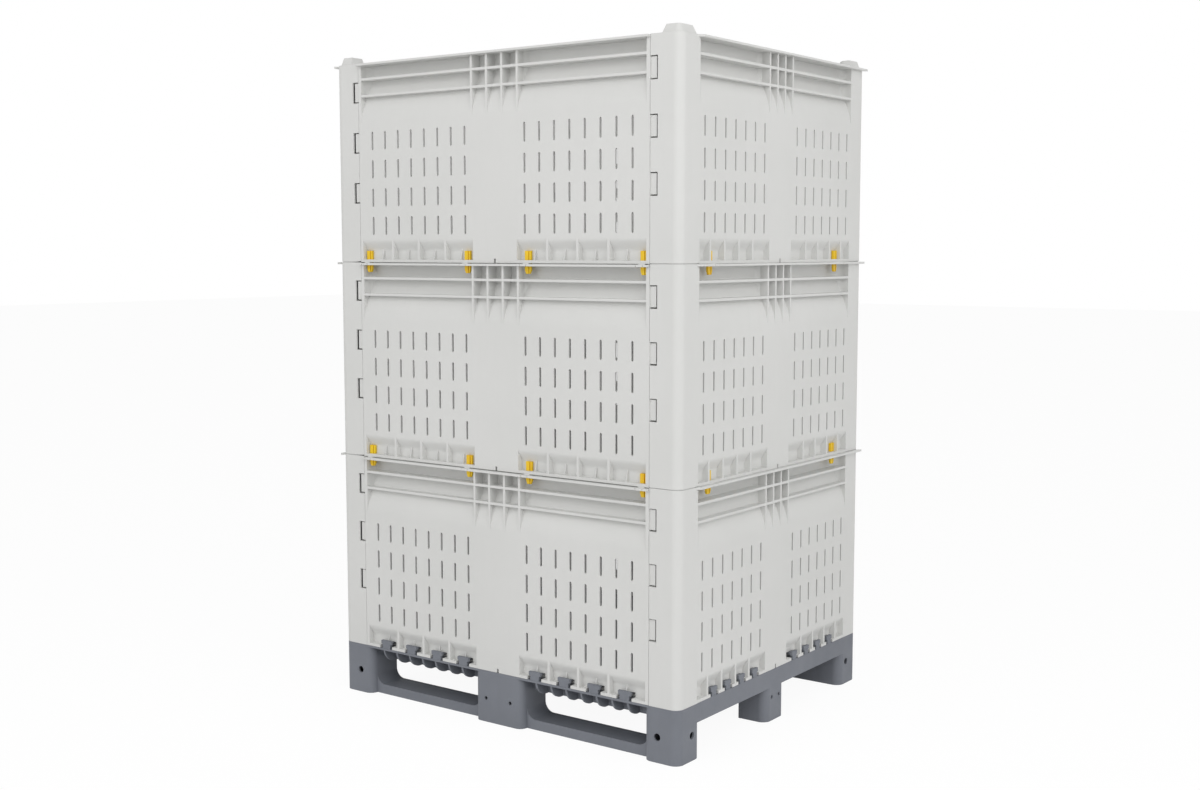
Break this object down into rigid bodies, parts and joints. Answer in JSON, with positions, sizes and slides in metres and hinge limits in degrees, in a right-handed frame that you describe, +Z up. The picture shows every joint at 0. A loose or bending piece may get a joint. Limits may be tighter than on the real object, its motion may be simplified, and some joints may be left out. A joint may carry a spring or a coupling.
{
  "type": "folding pallet box",
  "caption": "Tall plastic pallet box of stacked vented wall tiers on a fork pallet; hinged side walls fold inwards.",
  "frame": {"origin": "under the middle of the pallet, on the floor", "axes": "+X along the long side, +Y from the front to the back, +Z up"},
  "size_m": [1.224, 1.024, 1.8745],
  "materials": {
    "wall_white": "moulded satin",
    "pallet_grey": "moulded matte",
    "clip_yellow": "moulded satin",
    "rod_white": "drawn satin"
  },
  "bodies": {
    "pallet": {"pallet_deck": "pallet_grey", "skid_front": "pallet_grey", "skid_back": "pallet_grey", "middle_feet": "pallet_grey", "lower_left_end_wall": "wall_white", "lower_left_end_rod": "rod_white", "lower_right_end_wall": "wall_white", "lower_right_end_rod": "rod_white"},
    "lower_front_wall": {"lower_front_wall": "wall_white", "lower_front_hinge_rod": "rod_white"},
    "lower_back_wall": {"lower_back_wall": "wall_white", "lower_back_hinge_rod": "rod_white"},
    "middle_frame": {"middle_left_end_wall": "wall_white", "middle_left_end_clips": "clip_yellow", "middle_right_end_wall": "wall_white", "middle_right_end_clips": "clip_yellow"},
    "middle_front_wall": {"middle_front_wall": "wall_white", "middle_front_hinge_rod": "rod_white", "middle_front_clips": "clip_yellow"},
    "middle_back_wall": {"middle_back_wall": "wall_white", "middle_back_hinge_rod": "rod_white", "middle_back_clips": "clip_yellow"},
    "upper_frame": {"upper_left_end_wall": "wall_white", "upper_left_end_clips": "clip_yellow", "upper_right_end_wall": "wall_white", "upper_right_end_clips": "clip_yellow"},
    "upper_front_wall": {"upper_front_wall": "wall_white", "upper_front_hinge_rod": "rod_white", "upper_front_clips": "clip_yellow"},
    "upper_back_wall": {"upper_back_wall": "wall_white", "upper_back_hinge_rod": "rod_white", "upper_back_clips": "clip_yellow"}
  },
  "joints": [
    {"name": "lower_front_wall_fold", "type": "hinge", "parent": "pallet", "child": "lower_front_wall", "pos_m": [0, -0.469, 0.1565], "axis": [-1, 0, 0], "range_deg": [0, 90]},
    {"name": "lower_back_wall_fold", "type": "hinge", "parent": "pallet", "child": "lower_back_wall", "pos_m": [0, 0.469, 0.1565], "axis": [1, 0, 0], "range_deg": [0, 82]},
    {"name": "middle_tier_lift", "type": "slide", "parent": "pallet", "child": "middle_frame", "axis": [0, 0, 1], "range_m": [0, 0.15]},
    {"name": "middle_front_wall_fold", "type": "hinge", "parent": "middle_frame", "child": "middle_front_wall", "pos_m": [0, -0.469, 0.725], "axis": [-1, 0, 0], "range_deg": [0, 90]},
    {"name": "middle_back_wall_fold", "type": "hinge", "parent": "middle_frame", "child": "middle_back_wall", "pos_m": [0, 0.469, 0.725], "axis": [1, 0, 0], "range_deg": [0, 82]},
    {"name": "upper_tier_lift", "type": "slide", "parent": "middle_frame", "child": "upper_frame", "axis": [0, 0, 1], "range_m": [0, 0.15]},
    {"name": "upper_front_wall_fold", "type": "hinge", "parent": "upper_frame", "child": "upper_front_wall", "pos_m": [0, -0.469, 1.2935], "axis": [-1, 0, 0], "range_deg": [0, 90]},
    {"name": "upper_back_wall_fold", "type": "hinge", "parent": "upper_frame", "child": "upper_back_wall", "pos_m": [0, 0.469, 1.2935], "axis": [1, 0, 0], "range_deg": [0, 82]}
  ]
}
